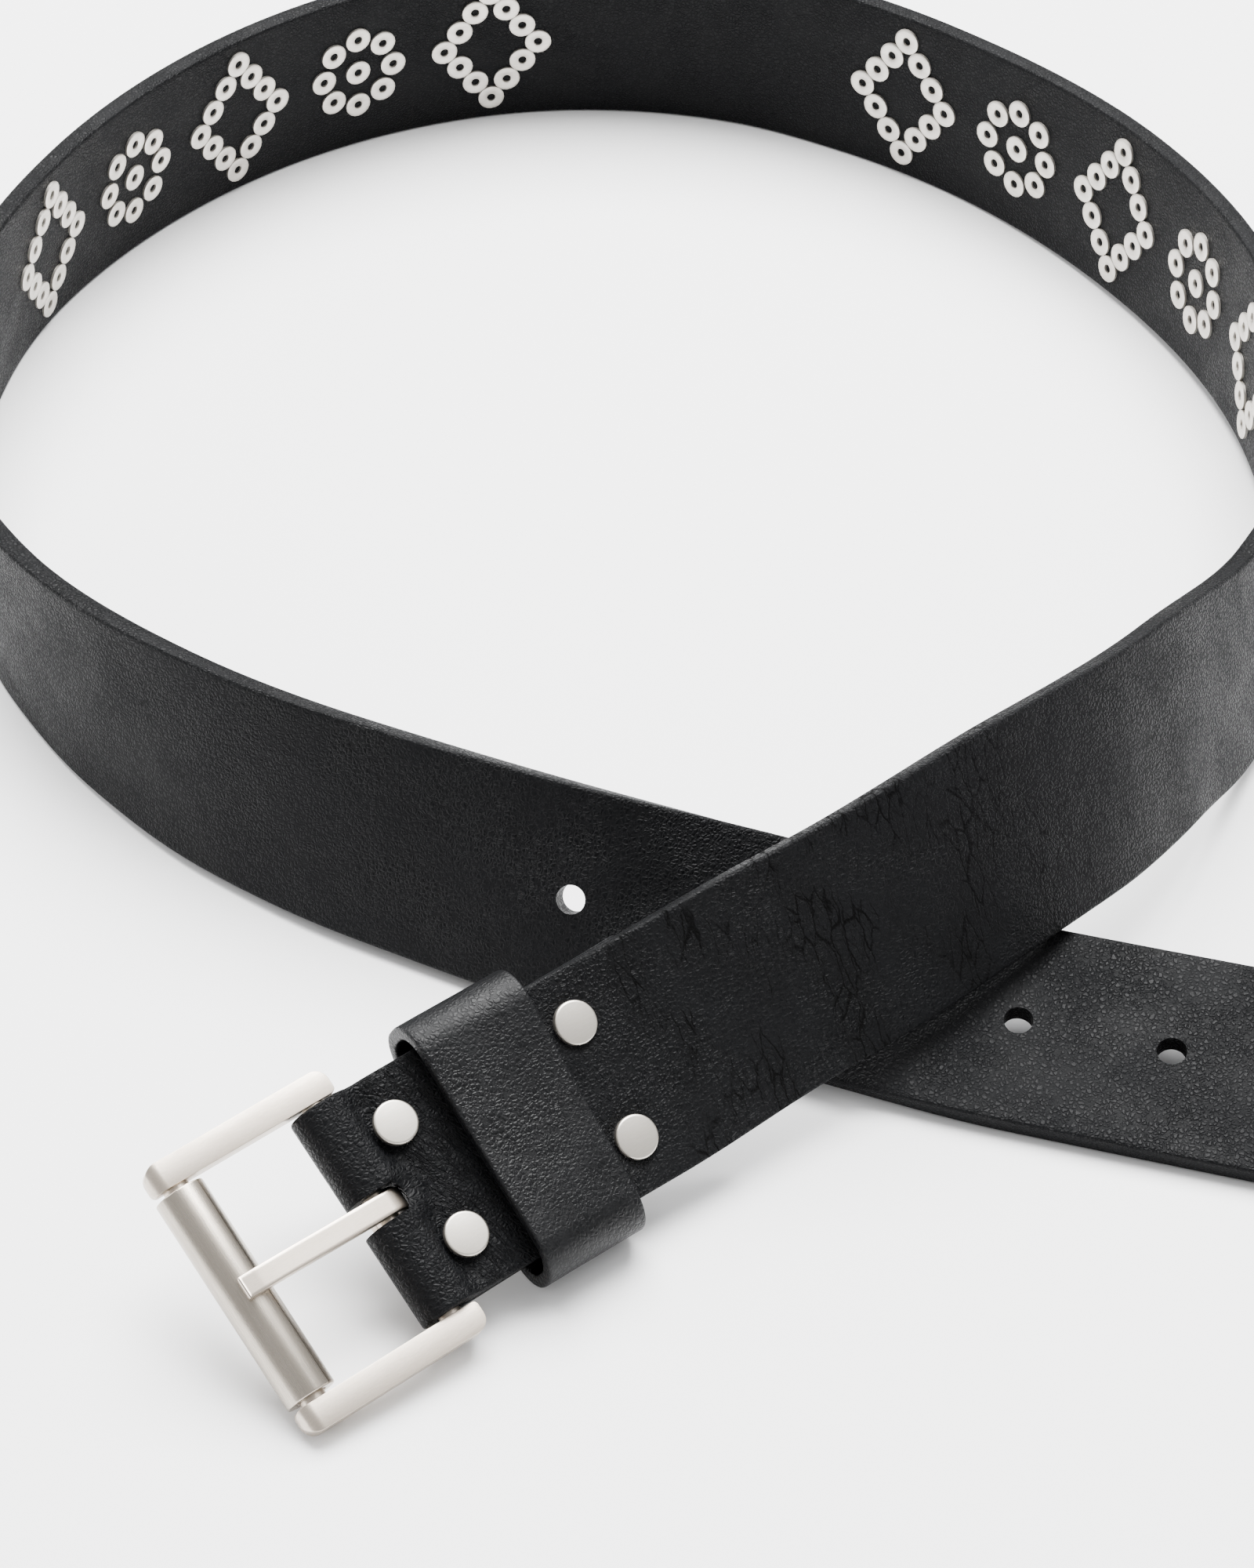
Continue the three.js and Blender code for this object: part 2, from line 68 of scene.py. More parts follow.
ROUTE = (
    RouteRow(0.000, 37.5, 61, 1.5),
    RouteRow(0.042, 35.5, 47.5, 1.35),
    RouteRow(0.079, 31.5, 35, 2.3),
    RouteRow(0.117, 40, 30.5, 3.7),
    RouteRow(0.154, 54.5, 20.5, 2.55),
    RouteRow(0.191, 63.5, 11.5, 0.35),
    RouteRow(0.229, 83, 1, 0.3),
    RouteRow(0.266, 97, -2, 0.6),
    RouteRow(0.322, 119.5, -4, 0.2),
    RouteRow(0.378, 140, 0, 0),
    RouteRow(0.401, 149.5, 0, 0),
    RouteRow(0.424, 162.5, 3, 0),
    RouteRow(0.452, 179, 4, 0),
    RouteRow(0.480, 196.5, 5, 0),
    RouteRow(0.526, 220.5, 6, 0),
    RouteRow(0.582, 244.5, 7, 0),
    RouteRow(0.637, 269, 0, 0),
    RouteRow(0.675, 286, -3, 0),
    RouteRow(0.712, 304.5, 1, 0),
    RouteRow(0.749, 321, 11.5, 0.1),
    RouteRow(0.786, 334, 22.5, 0.1),
    RouteRow(0.823, 339.5, 33, 0),
    RouteRow(0.860, 347, 53, 0.1),
    RouteRow(0.897, 343.5, 74.5, 0),
    RouteRow(0.934, 344, 74, 0),
    RouteRow(0.971, 346.5, 79, 0),
    RouteRow(1.000, 346.5, 81, 0),
)


class Metal(Enum):
    """The metal finishes of the hardware."""

    BUCKLE = "nickel"
    CAP = "cap_metal"


def smooth(value: np.ndarray | float) -> np.ndarray | float:
    """Return an ease from 0 to 1 of a value that is clipped to that range."""
    t = np.clip(value, 0.0, 1.0)
    return t * t * (3 - 2 * t)


def bump_shape(value: np.ndarray, centre: np.ndarray | float, reach: float) -> np.ndarray:
    """Return a round bump of height 1 about a centre."""
    return np.exp(-(((value - centre) / reach) ** 2))


class Line:
    """A flat line that a strip is bent along, in millimetres."""

    def __init__(self, points: list[tuple[float, float]]) -> None:
        """Measure the line once."""
        table = np.array(points)
        gaps = np.hypot(*np.diff(table, axis=0).T)
        self.run = np.concatenate([[0.0], np.cumsum(gaps)])
        self.x, self.y = table.T

    @property
    def length(self) -> float:
        """Return the length of the whole line."""
        return self.run[-1]

    def at(self, along: np.ndarray) -> tuple[np.ndarray, np.ndarray]:
        """Return the x and y of places along the line."""
        place = np.clip(along, 0, self.length)
        return np.interp(place, self.run, self.x), np.interp(place, self.run, self.y)

    def follow(
        self, along: np.ndarray, above: np.ndarray, delta: float
    ) -> tuple[np.ndarray, np.ndarray]:
        """Return points beside the line.

        Args:
            along: Distances along the line.
            above: Distances to its left.
            delta: How far ahead and behind its direction is read.

        Returns:
            The x and y of each point.
        """
        place = np.clip(along, 0, self.length)
        x, y = self.at(place)
        ahead_x, ahead_y = self.at(place + delta)
        behind_x, behind_y = self.at(place - delta)
        run_x, run_y = ahead_x - behind_x, ahead_y - behind_y
        size = np.hypot(run_x, run_y)
        return x - run_y / size * above, y + run_x / size * above


@dataclass
class StrapRoute:
    """The path of the strap's middle line, in millimetres, as in the part's source."""

    length: float = 1078.5
    width: float = 38.0
    thickness: float = 3.8
    back_share: float = 0.4526
    steps: int = 1080
    shift: Corner = (-29.28834, 188.28498, 0.0)
    middle: np.ndarray = field(init=False)
    forward: np.ndarray = field(init=False)
    across: np.ndarray = field(init=False)
    outward: np.ndarray = field(init=False)

    def __post_init__(self) -> None:
        """Trace the path once, in short steps."""
        share = np.arange(self.steps + 1) / self.steps
        turn = np.radians(self.column("turn", share))
        lean = np.radians(self.column("lean", share))
        height = self.height(share)
        before = np.maximum(share - 1 / self.steps, 0.0)
        after = np.minimum(share + 1 / self.steps, 1.0)
        climb = (self.height(after) - self.height(before)) / ((after - before) * self.length)
        level = np.sqrt(1 - climb**2)
        self.forward = np.stack([level * np.cos(turn), level * np.sin(turn), climb], 1)
        step = self.length / self.steps
        path = np.zeros((len(share), 3))
        path[1:] = np.cumsum((self.forward[1:] + self.forward[:-1]) / 2 * step, axis=0)
        path[:, 2] = height
        inward = np.stack([-np.sin(turn), np.cos(turn), np.zeros_like(turn)], 1)
        upright = np.cross(self.forward, inward)
        self.across = np.cos(lean)[:, None] * upright + np.sin(lean)[:, None] * inward
        self.outward = np.cross(self.forward, self.across)
        back = path[round(self.back_share * self.steps)].copy()
        path[:, :2] -= back[:2]
        self.middle = path + np.array(self.shift)

    def column(self, name: str, share: np.ndarray) -> np.ndarray:
        """Read one column of the route along a smooth curve that never overshoots.

        Args:
            name: The column's name.
            share: Places along the strap, as shares of its length.

        Returns:
            The column's value at each place.
        """
        x = np.array([row.along for row in ROUTE])
        y = np.array([getattr(row, name) for row in ROUTE], float)
        span = np.diff(x)
        slope = np.diff(y) / span
        tangent = np.zeros(len(x))
        tangent[0], tangent[-1] = slope[0], slope[-1]
        for i in range(1, len(x) - 1):
            if slope[i - 1] * slope[i] > 0:
                tangent[i] = 2 * slope[i - 1] * slope[i] / (slope[i - 1] + slope[i])
        i = np.clip(np.searchsorted(x, share) - 1, 0, len(span) - 1)
        t = (share - x[i]) / span[i]
        ease = t * t * (3 - 2 * t)
        return (
            y[i] * (1 - ease)
            + y[i + 1] * ease
            + t * (1 - t) ** 2 * span[i] * tangent[i]
            - t * t * (1 - t) * span[i] * tangent[i + 1]
        )

    def height(self, share: np.ndarray) -> np.ndarray:
        """Return the height of the middle line over the floor."""
        lean = np.radians(self.column("lean", share))
        lowest = self.column("ride", share) * self.thickness
        return lowest + self.thickness / 2 * np.abs(np.sin(lean)) + self.width / 2 * np.cos(lean)

    def frames(self, lengths: np.ndarray) -> tuple[np.ndarray, np.ndarray, np.ndarray, np.ndarray]:
        """Return the strap's own frame at each length from the bar.

        Args:
            lengths: Distances from the buckle's bar, in millimetres.

        Returns:
            The middle point and the directions forward, across and outward.
        """
        place = np.clip(np.asarray(lengths, float) / self.length * self.steps, 0, self.steps)
        base = np.arange(self.steps + 1)

        def read(table: np.ndarray) -> np.ndarray:
            return np.stack([np.interp(place, base, table[:, k]) for k in range(3)], 1)

        forward = read(self.forward)
        forward /= np.linalg.norm(forward, axis=1)[:, None]
        across = read(self.across)
        across -= forward * np.sum(forward * across, axis=1)[:, None]
        across /= np.linalg.norm(across, axis=1)[:, None]
        return read(self.middle), forward, across, np.cross(forward, across)

    def matrix(self, length: float, across: float = 0.0, out: float = 0.0) -> Matrix:
        """Return the frame with x back towards the buckle, y outward and z across, in metres."""
        middle, forward, side, outward = (table[0] for table in self.frames(np.array([length])))
        point = (middle + side * across + outward * out) * MM
        matrix = Matrix.Identity(4)
        for row in range(3):
            matrix[row][0] = -forward[row]
            matrix[row][1] = outward[row]
            matrix[row][2] = side[row]
            matrix[row][3] = point[row]
        return matrix


class Bench:
    """The modelling steps that every piece shares."""

    @staticmethod
    def clear() -> None:
        """Deselect everything, so that an operator acts on the new piece alone."""
        if bpy.context.object and bpy.context.object.mode != "OBJECT":
            bpy.ops.object.mode_set(mode="OBJECT")
        bpy.ops.object.select_all(action="DESELECT")

    @staticmethod
    def take(piece: Piece) -> Piece:
        """Make a piece the only selected and active object."""
        Bench.clear()
        piece.select_set(True)
        bpy.context.view_layer.objects.active = piece
        return piece

    @staticmethod
    def fix(piece: Piece, scale: Corner | None = None) -> Piece:
        """Put the object's place, turn and size into its mesh.

        Args:
            piece: The object to settle.
            scale: Its size along each axis, where it isn't right yet.

        Returns:
            The same object, at the origin.
        """
        if scale:
            piece.scale = scale
        Bench.take(piece)
        bpy.ops.object.transform_apply(location=True, rotation=True, scale=True)
        return piece

    @staticmethod
    def box(name: str, low: Corner, high: Corner) -> Piece:
        """Add a block between two corners that are given in millimetres."""
        Bench.clear()
        centre = [(a + b) / 2 * MM for a, b in zip(low, high)]
        bpy.ops.mesh.primitive_cube_add(size=1, location=centre)
        piece = bpy.context.object
        piece.name = name
        return Bench.fix(piece, tuple((b - a) * MM for a, b in zip(low, high)))

    @staticmethod
    def rod(
        name: str,
        radius: float,
        length: float,
        place: Corner = (0, 0, 0),
        sides: int = 48,
        open_ends: bool = False,
    ) -> Piece:
        """Add a rod along z, with its sizes in millimetres.

        Args:
            name: The new object's name.
            radius: The rod's radius.
            length: The rod's length.
            place: The rod's centre.
            sides: The number of its sides.
            open_ends: Whether its ends are left open.

        Returns:
            The new rod.
        """
        Bench.clear()
        bpy.ops.mesh.primitive_cylinder_add(
            vertices=sides,
            radius=radius * MM,
            depth=length * MM,
            location=[value * MM for value in place],
            end_fill_type="NOTHING" if open_ends else "NGON",
        )
        piece = bpy.context.object
        piece.name = name
        return Bench.fix(piece)

    @staticmethod
    def modify(piece: Piece, kind: str, **settings: object) -> Piece:
        """Add a modifier with its settings and apply it.

        Args:
            piece: The object to change.
            kind: The modifier's type.
            **settings: Its values.

        Returns:
            The same object.
        """
        Bench.take(piece)
        modifier = piece.modifiers.new(kind.lower(), kind)
        for key, value in settings.items():
            setattr(modifier, key, value)
        bpy.ops.object.modifier_apply(modifier=modifier.name)
        return piece

    @staticmethod
    def soften(piece: Piece, width: float, segments: int = 3, angle: float = 40) -> Piece:
        """Round a piece's sharp edges by a width in millimetres."""
        return Bench.modify(
            piece,
            "BEVEL",
            width=width * MM,
            segments=segments,
            limit_method="ANGLE",
            angle_limit=math.radians(angle),
            harden_normals=False,
        )

    @staticmethod
    def cut(piece: Piece, cutters: Iterable[Piece]) -> Piece:
        """Cut each tool out of a piece and remove the tool."""
        for cutter in cutters:
            Bench.modify(piece, "BOOLEAN", operation="DIFFERENCE", solver="EXACT", object=cutter)
            bpy.data.objects.remove(cutter, do_unlink=True)
        return piece

    @staticmethod
    def join(name: str, pieces: list[Piece]) -> Piece:
        """Join pieces into one object with a name."""
        Bench.take(pieces[0])
        for piece in pieces[1:]:
            piece.select_set(True)
        bpy.ops.object.join()
        joined = bpy.context.object
        joined.name = name
        joined.data.name = name
        return joined

    @staticmethod
    def polish(piece: Piece, angle: float = 35) -> Piece:
        """Shade a piece smooth up to an angle."""
        Bench.take(piece)
        bpy.ops.object.shade_smooth_by_angle(angle=math.radians(angle))
        return piece

    @staticmethod
    def points(piece: Piece) -> np.ndarray:
        """Return the piece's points in millimetres."""
        values = np.empty(len(piece.data.vertices) * 3)
        piece.data.vertices.foreach_get("co", values)
        return values.reshape(-1, 3) / MM

    @staticmethod
    def move_points(piece: Piece, points: np.ndarray) -> None:
        """Give a piece new points, in millimetres."""
        piece.data.vertices.foreach_set("co", (points * MM).ravel())
        piece.data.update()

    @staticmethod
    def note_flat(piece: Piece) -> None:
        """Keep the flat layout, in centimetres, for the patterns that follow the surface."""
        layout = piece.data.attributes.new(FLAT, "FLOAT_VECTOR", "POINT")
        layout.data.foreach_set("vector", (Bench.points(piece) / 10).ravel())

    @staticmethod
    def bevel_edges(
        piece: Piece, wanted: Callable[[Vector, Vector], bool], reach: float, segments: int
    ) -> None:
        """Round the chosen edges of a piece.

        Args:
            piece: The piece to change.
            wanted: Whether an edge with this middle and direction is rounded.
            reach: The corner's size in millimetres.
            segments: The number of its steps.
        """
        Bench.select_edges(piece, wanted)
        bpy.ops.mesh.bevel(offset=reach * MM, segments=segments, affect="EDGES")
        bpy.ops.object.mode_set(mode="OBJECT")

    @staticmethod
    def step_top(piece: Piece, steps: tuple[tuple[float, float], ...]) -> Piece:
        """Step a piece's upper face inward.

        Args:
            piece: The piece to change.
            steps: For each step, how far in and how far up it goes, in millimetres.

        Returns:
            The same piece.
        """
        Bench.select_edges(piece, lambda middle, way: False)
        bpy.ops.object.mode_set(mode="OBJECT")
        max(piece.data.polygons, key=lambda polygon: polygon.center.z).select = True
        bpy.ops.object.mode_set(mode="EDIT")
        bpy.ops.mesh.select_mode(type="FACE")
        for inward, upward in steps:
            bpy.ops.mesh.inset(thickness=inward * MM, depth=upward * MM)
        bpy.ops.object.mode_set(mode="OBJECT")
        return piece

    @staticmethod
    def select_edges(piece: Piece, wanted: Callable[[Vector, Vector], bool]) -> None:
        """Select, in edit mode, the edges whose middle and direction pass a test."""
        Bench.take(piece)
        mesh = piece.data
        for vertex in mesh.vertices:
            vertex.select = False
        for polygon in mesh.polygons:
            polygon.select = False
        for edge in mesh.edges:
            a, b = (mesh.vertices[i].co for i in edge.vertices)
            edge.select = wanted((a + b) / 2 / MM, (b - a).normalized())
        bpy.ops.object.mode_set(mode="EDIT")
        bpy.ops.mesh.select_mode(type="EDGE")


class Nodes:
    """A material's node tree, laid out with short calls."""

    def __init__(self, name: str) -> None:
        """Start a material with its shader."""
        self.material = bpy.data.materials.new(name)
        self.material.use_nodes = True
        self.tree = self.material.node_tree
        self.shader = self.tree.nodes["Principled BSDF"]

    def add(
        self, kind: str, values: dict[str, object] | None = None, **settings: object
    ) -> bpy.types.Node:
        """Add a node.

        Args:
            kind: The node's type.
            values: What its sockets hold or are linked from.
            **settings: Its own options.

        Returns:
            The new node.
        """
        node = self.tree.nodes.new(kind)
        for key, value in settings.items():
            setattr(node, key, value)
        for key, value in (values or {}).items():
            self.feed(node.inputs[key], value)
        return node

    def feed(self, socket: Socket, value: object) -> None:
        """Link a socket, or set its value."""
        if isinstance(value, Socket):
            self.tree.links.new(value, socket)
        else:
            socket.default_value = value

    def layout(self) -> Socket:
        """Return the flat layout that the pattern follows."""
        return self.add("ShaderNodeAttribute", attribute_name=FLAT).outputs["Vector"]

    def place(self) -> Socket:
        """Return the object coordinates."""
        return self.add("ShaderNodeTexCoord").outputs["Object"]

    def mapped(self, source: Socket, scale: Corner, turn: float = 0.0) -> Socket:
        """Return coordinates that are turned about z and then stretched."""
        turned = self.add(
            "ShaderNodeMapping", {"Vector": source, "Rotation": (0.0, 0.0, math.radians(turn))}
        ).outputs["Vector"]
        return self.add("ShaderNodeMapping", {"Vector": turned, "Scale": scale}).outputs["Vector"]

    def noise(
        self, vector: Socket, scale: float, detail: float = 4.0, rough: float = 0.5, twist: float = 0.0
    ) -> Socket:
        """Return a noise pattern."""
        values = {"Vector": vector, "Scale": scale, "Detail": detail}
        values.update({"Roughness": rough, "Distortion": twist})
        return self.add("ShaderNodeTexNoise", values).outputs["Fac"]

    def cells(self, vector: Socket, scale: float, feature: str = "F1") -> Socket:
        """Return the distance to the cells of a random net."""
        return self.add(
            "ShaderNodeTexVoronoi", {"Vector": vector, "Scale": scale}, feature=feature
        ).outputs["Distance"]

    def warp(self, vector: Socket, scale: float, reach: float) -> Socket:
        """Return coordinates that a noise pushes about by up to a reach."""
        push = self.add("ShaderNodeTexNoise", {"Vector": vector, "Scale": scale, "Detail": 2.0})
        offset = self.add("ShaderNodeVectorMath", operation="MULTIPLY_ADD")
        self.feed(offset.inputs[0], push.outputs["Color"])
        self.feed(offset.inputs[1], (2 * reach, 2 * reach, 2 * reach))
        self.feed(offset.inputs[2], vector)
        return offset.outputs["Vector"]

    def span(
        self, value: Socket, low: float, high: float, start: float = 0.0, end: float = 1.0
    ) -> Socket:
        """Return a value that runs smoothly between two ends of a range."""
        return self.add(
            "ShaderNodeMapRange",
            {"Value": value, "From Min": low, "From Max": high, "To Min": start, "To Max": end},
            interpolation_type="SMOOTHSTEP",
        ).outputs["Result"]

    def math(self, kind: str, first: object, second: object) -> Socket:
        """Return two values combined by a named operation."""
        node = self.add("ShaderNodeMath", operation=kind)
        self.feed(node.inputs[0], first)
        self.feed(node.inputs[1], second)
        return node.outputs["Value"]

    def times(self, first: object, second: object) -> Socket:
        """Return the product of two values."""
        return self.math("MULTIPLY", first, second)

    def plus(self, first: object, second: object) -> Socket:
        """Return the sum of two values."""
        return self.math("ADD", first, second)

    def blend(self, share: object, first: tuple, second: object) -> Socket:
        """Return a colour between two colours."""
        node = self.add("ShaderNodeMix", data_type="RGBA")
        self.feed(node.inputs["Factor"], share)
        self.feed(node.inputs["A"], first)
        self.feed(node.inputs["B"], second)
        return node.outputs["Result"]

    def bump(
        self, height: Socket, depth: float, strength: float, under: Socket | None = None
    ) -> Socket:
        """Return a normal that is bent by a height, over another one if given."""
        values: dict[str, object] = {"Height": height, "Distance": depth * MM, "Strength": strength}
        if under:
            values["Normal"] = under
        return self.add("ShaderNodeBump", values).outputs["Normal"]

    def finish(self, **sockets: object) -> Material:
        """Feed the shader's sockets and return the material."""
        names = {
            "color": "Base Color",
            "rough": "Roughness",
            "metal": "Metallic",
            "normal": "Normal",
            "specular": "Specular IOR Level",
        }
        for key, value in sockets.items():
            self.feed(self.shader.inputs[names[key]], value)
        return self.material


@dataclass(frozen=True)
class GrainLeather:
    """Black full-grain leather, with a pebbled grain and cracks where it was bent."""

    name: str
    dark: Corner = (0.0010, 0.0011, 0.0014)
    light: Corner = (0.0026, 0.0028, 0.0034)
    rough: float = 0.42
    grain: float = 1.0
    cracks: float = 1.0
    specular: float = 0.100

    def crack_net(self, nodes: Nodes, flat: Socket) -> tuple[Socket, Socket]:
        """Draw the lines where the leather was bent.

        Args:
            nodes: The material's nodes.
            flat: The flat layout, in centimetres from the buckle's bar.

        Returns:
            The fine cracks across the bent strap, and the wrinkles near the fold.
        """
        x = nodes.add("ShaderNodeSeparateXYZ", {"Vector": flat}).outputs["X"]
        wavy = nodes.warp(nodes.warp(flat, 1.1, 0.16), 9.0, 0.035)
        net = nodes.cells(nodes.mapped(wavy, (5.2, 1.25, 1.0), 8), 1.0, "DISTANCE_TO_EDGE")
        line = nodes.span(net, 0.0, 0.075, 1.0, 0.0)
        finer = nodes.cells(nodes.mapped(wavy, (9.0, 2.6, 1.0), -6), 1.0, "DISTANCE_TO_EDGE")
        thin = nodes.times(nodes.span(finer, 0.0, 0.10, 1.0, 0.0), 0.45)
        patches = nodes.noise(nodes.mapped(flat, (1.0, 0.6, 1.0)), 1.0, 3.0)
        bent = nodes.times(nodes.span(x, 3.6, 6.0), nodes.span(x, 9.5, 15.0, 1.0, 0.06))
        line = nodes.times(nodes.plus(line, thin), nodes.times(nodes.span(patches, 0.42, 0.60), bent))
        fan = nodes.noise(nodes.mapped(flat, (1.0, 0.22, 1.0), -24), 7.5, 4.0, 0.5, 0.5)
        ridge = nodes.math("ABSOLUTE", nodes.math("SUBTRACT", fan, 0.5), 0.0)
        near = nodes.times(nodes.span(x, 0.55, 0.95), nodes.span(x, 1.4, 2.4, 1.0, 0.0))
        wrinkle = nodes.times(nodes.span(ridge, 0.0, 0.045, 0.75, 0.0), near)
        return nodes.times(line, self.cracks), nodes.times(wrinkle, self.cracks)

    def build(self) -> Material:
        """Return the finished material."""
        nodes = Nodes(self.name)
        flat = nodes.layout()
        pebble = nodes.cells(nodes.warp(flat, 9.0, 0.05), 13.0, "DISTANCE_TO_EDGE")
        pebble = nodes.span(pebble, 0.0, 0.30)
        fine = nodes.noise(flat, 52.0, 4.0, 0.6)
        broad = nodes.noise(flat, 0.9, 3.0, 0.5, 0.3)
        depth = nodes.span(nodes.noise(flat, 0.7, 2.0), 0.35, 0.65, 0.5, 1.0)
        pebble = nodes.times(pebble, depth)
        cut, wrinkle = self.crack_net(nodes, flat)
        normal = nodes.bump(broad, 2.2, 0.25)
        normal = nodes.bump(pebble, 0.19 * self.grain, 0.75, normal)
        normal = nodes.bump(fine, 0.10 * self.grain, 0.5, normal)
        normal = nodes.bump(nodes.times(cut, -1.0), 0.15, 0.7, normal)
        normal = nodes.bump(nodes.times(wrinkle, -1.0), 0.45, 0.85, normal)
        tone = nodes.plus(nodes.times(broad, 0.5), nodes.times(fine, 0.5))
        color = nodes.blend(nodes.span(tone, 0.3, 0.72), (*self.dark, 1), (*self.light, 1))
        # Painted shade: the colour goes to near black along the cracks, standing in for the shade
        # inside them.
        color = nodes.blend(nodes.times(cut, 0.9), color, (0.0002, 0.0002, 0.0002, 1))
        rough = nodes.span(broad, 0.3, 0.7, self.rough - 0.05, self.rough + 0.06)
        valley = nodes.span(pebble, 0.0, 0.45, 0.20 * self.grain, 0.0)
        rough = nodes.plus(rough, nodes.plus(valley, nodes.times(cut, 0.55)))
        return nodes.finish(color=color, rough=rough, normal=normal, specular=self.specular)


@dataclass(frozen=True)
class FleshLeather:
    """The matte inner face of the leather."""

    name: str
    dark: Corner = (0.0110, 0.0102, 0.0107)
    light: Corner = (0.0235, 0.0220, 0.0228)

    def build(self) -> Material:
        """Return the finished material."""
        nodes = Nodes(self.name)
        flat = nodes.layout()
        fibre = nodes.noise(nodes.mapped(flat, (0.4, 1.6, 1.0)), 34.0, 6.0, 0.65, 0.4)
        speck = nodes.noise(flat, 85.0, 2.0, 0.5)
        cloud = nodes.noise(flat, 1.1, 3.0)
        normal = nodes.bump(fibre, 0.30, 0.45)
        normal = nodes.bump(speck, 0.15, 0.4, normal)
        tone = nodes.plus(nodes.times(fibre, 0.55), nodes.times(cloud, 0.45))
        color = nodes.blend(nodes.span(tone, 0.3, 0.7), (*self.dark, 1), (*self.light, 1))
        return nodes.finish(color=color, rough=0.8, normal=normal, specular=0.05)


@dataclass(frozen=True)
class CutEdge:
    """The raw cut edge of the leather, grey and fibrous."""

    name: str
    dark: Corner = (0.0032, 0.0032, 0.0037)
    light: Corner = (0.0165, 0.0168, 0.0180)

    def build(self) -> Material:
        """Return the finished material."""
        nodes = Nodes(self.name)
        flat = nodes.layout()
        fibre = nodes.noise(nodes.mapped(flat, (0.7, 1.0, 3.0)), 24.0, 7.0, 0.7, 0.6)
        nap = nodes.noise(flat, 70.0, 3.0, 0.6)
        normal = nodes.bump(fibre, 0.55, 0.7)
        normal = nodes.bump(nap, 0.25, 0.5, normal)
        color = nodes.blend(nodes.span(fibre, 0.32, 0.68), (*self.dark, 1), (*self.light, 1))
        return nodes.finish(color=color, rough=0.85, normal=normal, specular=0.05)


@dataclass(frozen=True)
class SatinMetal:
    """Satin plated metal with fine brushing, and a slightly darker tone where it is worn."""

    name: str
    bright: Corner = (0.60, 0.53, 0.455)
    worn: Corner = (0.50, 0.435, 0.365)
    rough: float = 0.33
    brushing: Corner = (1.0, 6.0, 6.0)
    depth: float = 1.0

    def build(self) -> Material:
        """Return the finished material."""
        nodes = Nodes(self.name)
        flat = nodes.layout()
        broad = tuple(value * 0.4 for value in self.brushing)
        cloud = nodes.noise(nodes.mapped(flat, broad), 2.0, 4.0, 0.6)
        streak = nodes.noise(nodes.mapped(flat, self.brushing), 9.0, 5.0, 0.65)
        speck = nodes.noise(flat, 90.0, 3.0, 0.6)
        normal = nodes.bump(streak, 0.030 * self.depth, 0.30)
        normal = nodes.bump(speck, 0.018 * self.depth, 0.30, normal)
        tone = nodes.plus(nodes.times(cloud, 0.5), nodes.times(streak, 0.5))
        color = nodes.blend(nodes.span(tone, 0.34, 0.66), (*self.worn, 1), (*self.bright, 1))
        rough = nodes.span(tone, 0.3, 0.7, self.rough + 0.06, self.rough - 0.03)
        return nodes.finish(color=color, rough=rough, metal=1.0, normal=normal)


@dataclass
class Finishes:
    """Every material of the belt, made once."""

    outer: Material = field(init=False)
    inner: Material = field(init=False)
    edge: Material = field(init=False)
    keeper: Material = field(init=False)
    buckle: Material = field(init=False)
    roller: Material = field(init=False)
    caps: Material = field(init=False)
    rings: Material = field(init=False)

    def __post_init__(self) -> None:
        """Build the materials."""
        self.outer = GrainLeather("grain_leather").build()
        self.keeper = GrainLeather(
            "keeper_leather", rough=0.38, grain=0.6, cracks=0.0, specular=0.17
        ).build()
        self.inner = FleshLeather("flesh_leather").build()
        self.edge = CutEdge("cut_edge").build()
        self.buckle = SatinMetal("antique_nickel").build()
        self.roller = SatinMetal(
            "brushed_nickel",
            bright=(0.48, 0.43, 0.37),
            worn=(0.36, 0.32, 0.27),
            rough=0.27,
            brushing=(7.0, 7.0, 0.35),
            depth=1.6,
        ).build()
        self.caps = SatinMetal(
            "satin_nickel", bright=(0.62, 0.585, 0.53), worn=(0.54, 0.505, 0.45), rough=0.38
        ).build()
        self.rings = SatinMetal(
            "dull_nickel", bright=(0.66, 0.625, 0.575), worn=(0.56, 0.53, 0.485), rough=0.5
        ).build()


class Body:
    """Where a finished piece goes: its body and the nodes that it stands for."""

    @staticmethod
    def seat(piece: Piece, body: str, slot: str, nodes: tuple[str, ...] = ()) -> None:
        """Hand a finished piece to its body.

        Args:
            piece: The finished piece.
            body: The body that it rides on.
            slot: The material slot that it would take its finish from; not used.
            nodes: The solids that it stands for.
        """
        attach(piece, body)
        if nodes:
            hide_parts(*nodes)
        log.info("%s: %d faces on %s", piece.name, len(piece.data.polygons), body)

    @staticmethod
    def dress(piece: Piece, *materials: Material) -> None:
        """Give a piece its materials."""
        piece.data.materials.clear()
        for material in materials:
            piece.data.materials.append(material)


